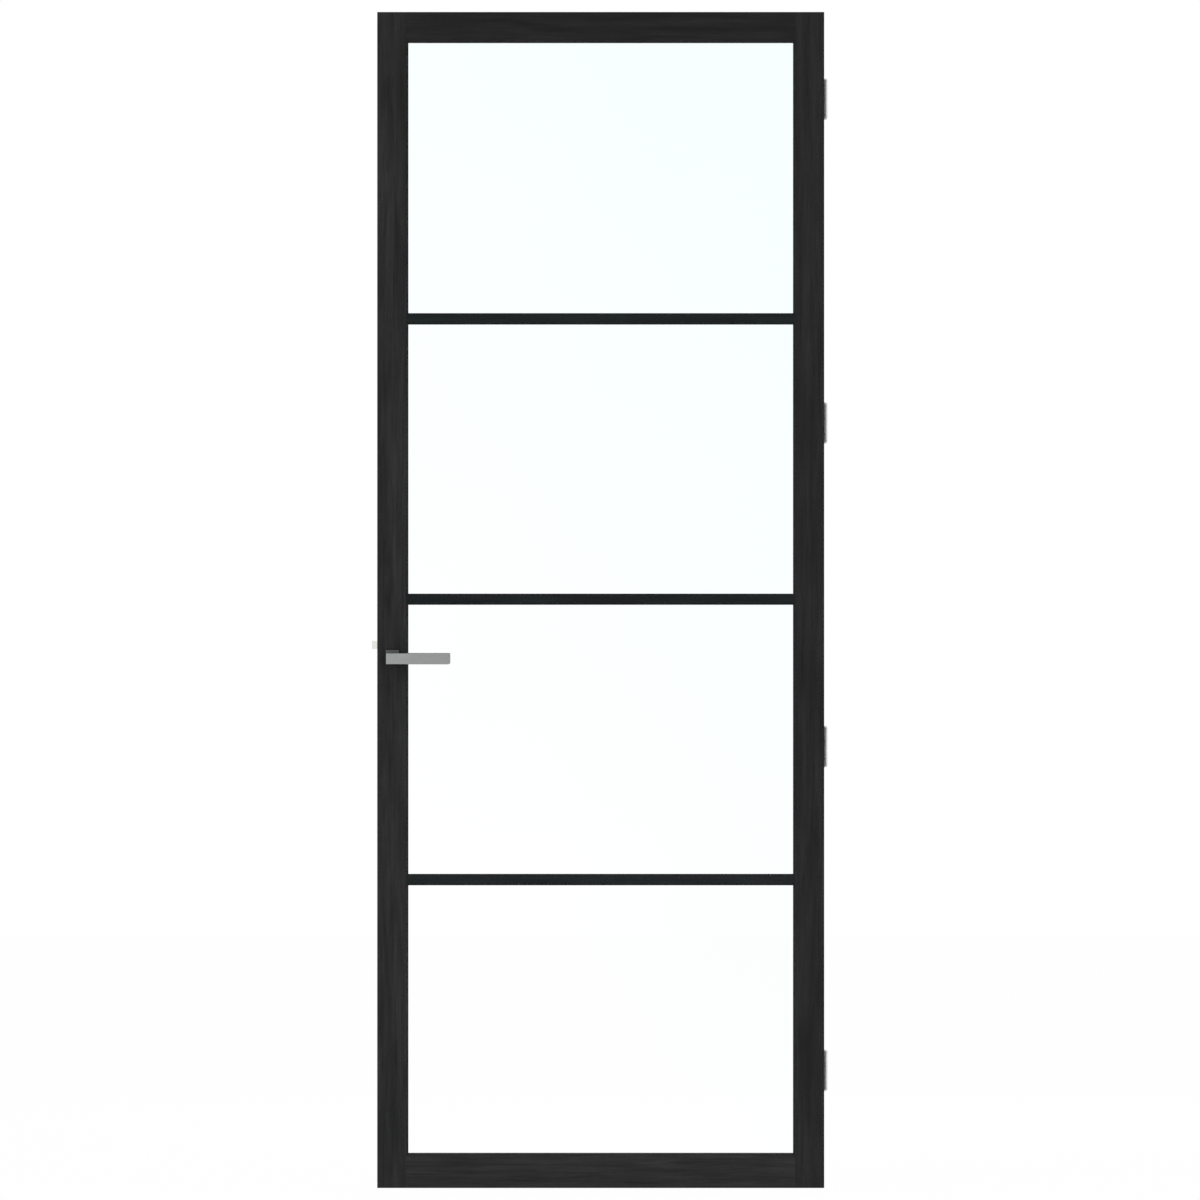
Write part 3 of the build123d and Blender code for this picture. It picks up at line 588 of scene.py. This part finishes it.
hingePlace = {
    "screwFace": 0.4399,
    # across the leaf's edge, and up from the hinge's middle
    "screws": ((0.009, 0.028), (0.009, -0.028), (-0.003, 0.012), (-0.003, -0.012)),
}
lockPlace = {
    "screwFace": -0.4399,
    "screwHeights": (1.123, 0.979),
    "leverAxisX": -0.410,
    "grubFoot": 1.038,
    "grubReach": 0.040,
}
woodScrew = {
    "Head Radius": 0.004,
    "Shank Radius": 0.002,
    "Core Radius": 0.00145,
    "Tip Radius": 0.0003,
    "Length": 0.028,
    "Point Length": 0.006,
    "Pitch": 0.0018,
    "Root End": 0.18,       # in pitches from the root's middle, where the flank starts
    "Crest Start": 0.48,    # and where it reaches the crest
    "Recess Radius": 0.0029,
    "Recess Depth": 0.0018,
    "Recess Foot": 0.35,    # as a share of its radius at the mouth
    "Recess Sink": 0.94,    # the share of its depth below the head's face
    "Blade": 0.24,          # a blade's width as a share of its length
    "Sides": 18,
    "Rings": 124,
    "Spin": fullTurn,
    "Seed": 7,
}
grubScrew = {
    "Shank Radius": 0.0025,
    "Core Radius": 0.0022,
    "Length": 0.00295,
    "Pitch": 0.0007,
    "Root End": 0.0,
    "Crest Start": 0.5,
    "Socket Radius": 0.0013,
    "Socket Depth": 0.0016,
    "Sides": 24,
    "Rings": 24,
    "Spin": fullTurn,
    "Seed": 5,
}


def fit(piece, body, replaced):
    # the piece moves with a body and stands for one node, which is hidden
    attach(piece, body)
    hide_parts(replaced)


def middleHeight(name):
    low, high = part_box(name)
    return (low.z + high.z) / 2


print("screws")
threaded = screwTree(woodScrew)
points = [(hingePlace["screwFace"], y, middleHeight(f"hinge_door_leaf_{i}") + step)
          for i in hingeNumbers for y, step in hingePlace["screws"]]
fit(grow("hinge_screws_threaded", points, (1, 0, 0), threaded, woodScrew, finishes["hinge_steel_brushed"]),
    "door_leaf", "hinge_screws")
points = [(lockPlace["screwFace"], 0.0, height) for height in lockPlace["screwHeights"]]
fit(grow("forend_screws_threaded", points, (-1, 0, 0), threaded, woodScrew,
         finishes["steel_satin_brushed"]), "door_leaf", "forend_screws")
points = [(lockPlace["leverAxisX"], side * lockPlace["grubReach"], lockPlace["grubFoot"])
          for side in (-1, 1)]
fit(grow("lever_grub_screws_socketed", points, (0, 0, -1), socketScrewTree(grubScrew), grubScrew,
         finishes["spring_steel_plain"]), "levers", "lever_grub_screws")


# Springs of the latch: one pushes the bolt out, the other brings the follower back

boltCoil = {
    "Radius": 0.0026,
    "Wire Radius": 0.0004,
    "Height": 0.0347,
    "Turns": 15.0,
    "Leg": 0.0006,
    "Steps": 28,
    "Sides": 8,
    "Spin": 0.0,
    "Seed": 1,
}
boltSpring = {"start": (-0.4346, 0.0, 1.073), "seat": (-0.3995, 0.0, 1.073), "keep": 0.69}
returnCoil = {
    "Radius": 0.01105,
    "Wire Radius": 0.0005,
    "Height": 0.002,
    "Turns": 2.0,
    "Leg": 0.019,
    "Steps": 48,
    "Sides": 8,
    "Spin": 0.0,
    "Seed": 1,
}
returnSpringStart = (-0.410, 0.0028, 1.045)

print("springs")
coiled = coilTree(boltCoil)
springSteel = finishes["spring_steel_plain"]
pushSpring = grow("latch_spring_coil", [boltSpring["start"]], (1, 0, 0), coiled, boltCoil, springSteel)
fit(pushSpring, "door_leaf", "latch_spring")
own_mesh(pushSpring)
fit(grow("follower_spring_coil", [returnSpringStart], (0, 1, 0), coiled, returnCoil, springSteel),
    "door_leaf", "follower_spring")


# Pins that hold the beads, driven in on the back and filled over in black

pinPlace = {"fromEdge": 0.0019, "fromCorner": 0.038}
fillingLook = {"colour": (0.013, 0.0135, 0.013), "roughness": 0.42, "specular": 0.3, "scale": 1500.0,
               "depth": 0.00002}
beadPins = {
    "Pitch": 0.145,
    "Head Radius": 0.0009,
    "Dome": 0.2,
    "Sides": 10,
    "Rings": 6,
    "Spin": 0.0,
    "Seed": 2,
}


def beadLines(place):
    # a line down the flat of every bead, from its box
    edge, corner = place["fromEdge"], place["fromCorner"]
    points = []
    for i in paneNumbers:
        for side in ("left", "right", "top", "bottom"):
            low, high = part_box(f"bead_{side}_{i}")
            if side in ("left", "right"):
                x = low.x + edge if side == "left" else high.x - edge
                points += [(x, high.y, low.z + corner), (x, high.y, high.z - corner)]
            else:
                z = high.z - edge if side == "top" else low.z + edge
                points += [(low.x + corner, high.y, z), (high.x - corner, high.y, z)]
    return points


print("bead pins")
filling = grainedCoat("wood_black_filling", **fillingLook)
points = beadLines(pinPlace)
pins = grow("bead_pins", points, (0, 1, 0), pinTree(beadPins), beadPins, filling,
            lines=[(i, i + 1) for i in range(0, len(points), 2)])
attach(pins, "door_leaf")


# Stage: pale floor under the hung leaf, white studio all round, soft lamps

stageLook = {
    "floorSize": 40.0,
    "floorDrop": 0.008,
    "floorColour": (0.82, 0.82, 0.82, 1),
    "floorWhite": 0.98,    # how much of the floor shows as plain white to the camera
    "worldLight": 0.62,
    "worldColour": (1.0, 1.0, 1.0, 1),
    "white": (1.0, 1.0, 1.0, 1),
}


def seenDirectly(tree):
    # one where a ray from the camera, a mirror or glass looks straight at it
    path = addNode(tree, "ShaderNodeLightPath").outputs
    seen = calc(tree, "MAXIMUM", path["Is Camera Ray"], path["Is Glossy Ray"])
    return calc(tree, "MAXIMUM", seen, path["Is Transmission Ray"])


def makeFloor(look):
    bm = bmesh.new()
    bmesh.ops.create_grid(bm, x_segments=4, y_segments=4, size=look["floorSize"] / 2)
    bmesh.ops.translate(bm, verts=bm.verts, vec=(0, 0, -look["floorDrop"]))
    data = bpy.data.meshes.new("floor")
    bm.to_mesh(data)
    bm.free()
    material, tree, shader = newMaterial("floor_pale", Roughness=0.9, Base_Color=look["floorColour"])
    glow = addNode(tree, "ShaderNodeEmission", {"Color": look["white"], "Strength": 1.0})
    share = calc(tree, "MULTIPLY", seenDirectly(tree), look["floorWhite"])
    mix = addNode(tree, "ShaderNodeMixShader", {0: share, 1: shader.outputs[0], 2: glow.outputs[0]})
    tree.links.new(mix.outputs[0], tree.nodes["Material Output"].inputs["Surface"])
    data.materials.append(material)
    addObject("floor", data)


def makeWorld(look):
    world = bpy.data.worlds.new("studio")
    world.use_nodes = True
    tree = world.node_tree
    base = tree.nodes["Background"]
    base.inputs["Color"].default_value = look["worldColour"]
    base.inputs["Strength"].default_value = look["worldLight"]
    plain = addNode(tree, "ShaderNodeBackground", {"Color": look["white"], "Strength": 1.0})
    mix = addNode(tree, "ShaderNodeMixShader",
                  {0: seenDirectly(tree), 1: base.outputs[0], 2: plain.outputs[0]})
    tree.links.new(mix.outputs[0], tree.nodes["World Output"].inputs["Surface"])
    bpy.context.scene.world = world


lampLook = {
    "key": {"place": (-3.0, -4.2, 2.6), "size": 2.6, "power": 150.0},
    "fill": {"place": (3.4, -3.6, 1.2), "size": 3.0, "power": 70.0},
    "back": {"place": (1.2, 4.4, 3.2), "size": 3.0, "power": 90.0},
}
lampTarget = (0.0, 0.0, 1.1)


def makeLamps(look, target):
    for name, values in look.items():
        data = bpy.data.lights.new(name, "AREA")
        data.shape = "SQUARE"
        data.size = values["size"]
        data.energy = values["power"]
        lamp = addObject(name, data)
        lamp.location = values["place"]
        aim = Vector(target) - Vector(values["place"])
        lamp.rotation_euler = aim.to_track_quat("-Z", "Y").to_euler()
        lamp.visible_camera = False
        lamp.visible_glossy = False
        lamp.visible_transmission = False


cameraLook = {
    "lens": 400.0,          # mm, on a 36 mm sensor: the leaf is seen almost without perspective
    "sensor": 36.0,
    "frameWidth": 2.3622,   # metres across the whole picture, at the leaf's front face
    "centre": (-0.0014, 1.1575),    # X and height of the picture's middle
    "clipEnd": 120.0,
}


def makeCamera(look):
    data = bpy.data.cameras.new("camera")
    data.lens = look["lens"]
    data.sensor_width = look["sensor"]
    data.clip_end = look["clipEnd"]
    camera = addObject("camera", data)
    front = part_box("lock_stile")[0].y
    distance = look["frameWidth"] * look["lens"] / look["sensor"]
    camera.location = (look["centre"][0], front - distance, look["centre"][1])
    camera.rotation_euler = (fullTurn / 4, 0, 0)
    bpy.context.scene.camera = camera


print("stage, lamps and camera")
makeFloor(stageLook)
makeWorld(stageLook)
makeLamps(lampLook, lampTarget)
makeCamera(cameraLook)
bpy.context.scene.view_settings.view_transform = "Standard"
